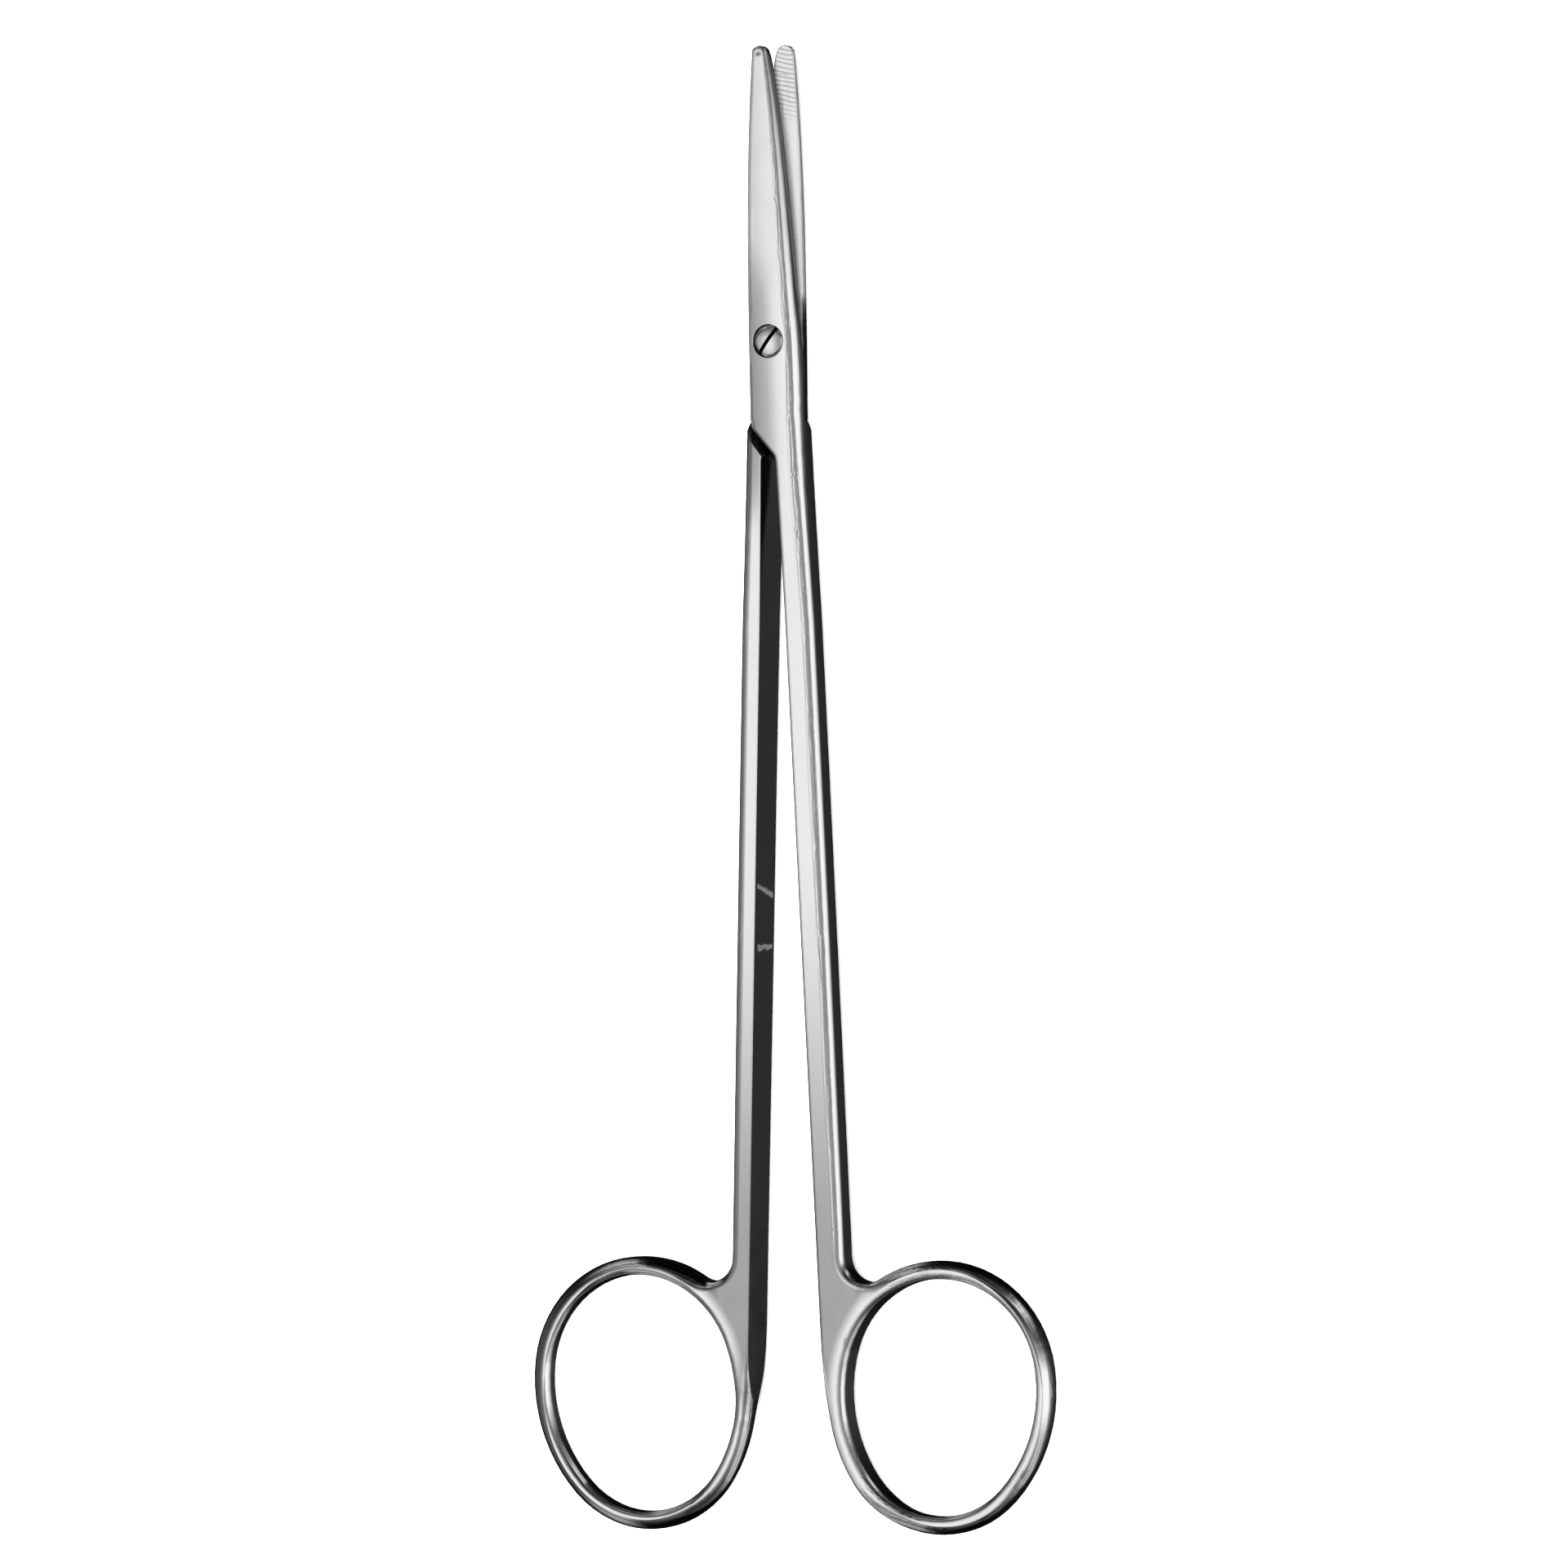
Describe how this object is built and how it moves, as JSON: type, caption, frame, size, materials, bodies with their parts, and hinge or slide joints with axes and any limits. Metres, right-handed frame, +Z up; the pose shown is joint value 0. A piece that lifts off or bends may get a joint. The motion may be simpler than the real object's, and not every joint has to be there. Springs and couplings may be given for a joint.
{
  "type": "dissecting scissors",
  "caption": "Straight dissecting scissors: long slender shanks with oval finger rings, short blades with rounded tips, and a slotted pivot screw that the halves turn on.",
  "frame": {"origin": "on the pivot axis, in the plane of the back half's outer joint face, which the scissors rest on", "axes": "+Z up along the pivot axis, out of the screw head; +Y towards the tips, midway between the halves as they lie; +X to the right, on the side of the front half's ring"},
  "size_m": [0.069, 0.1795, 0.006],
  "materials": {
    "forged_steel": "bright polished stainless steel with fine grinding lines",
    "screw_steel": "turned and polished stainless steel"
  },
  "bodies": {
    "back": {"back_half": "forged_steel", "pivot_screw": "screw_steel"},
    "front": {"front_half": "forged_steel"}
  },
  "joints": [
    {"name": "pivot", "type": "hinge", "parent": "back", "child": "front", "pos_m": [0, 0, 0], "axis": [0, 0, 1], "range_deg": [-3.3, 86.7]}
  ]
}
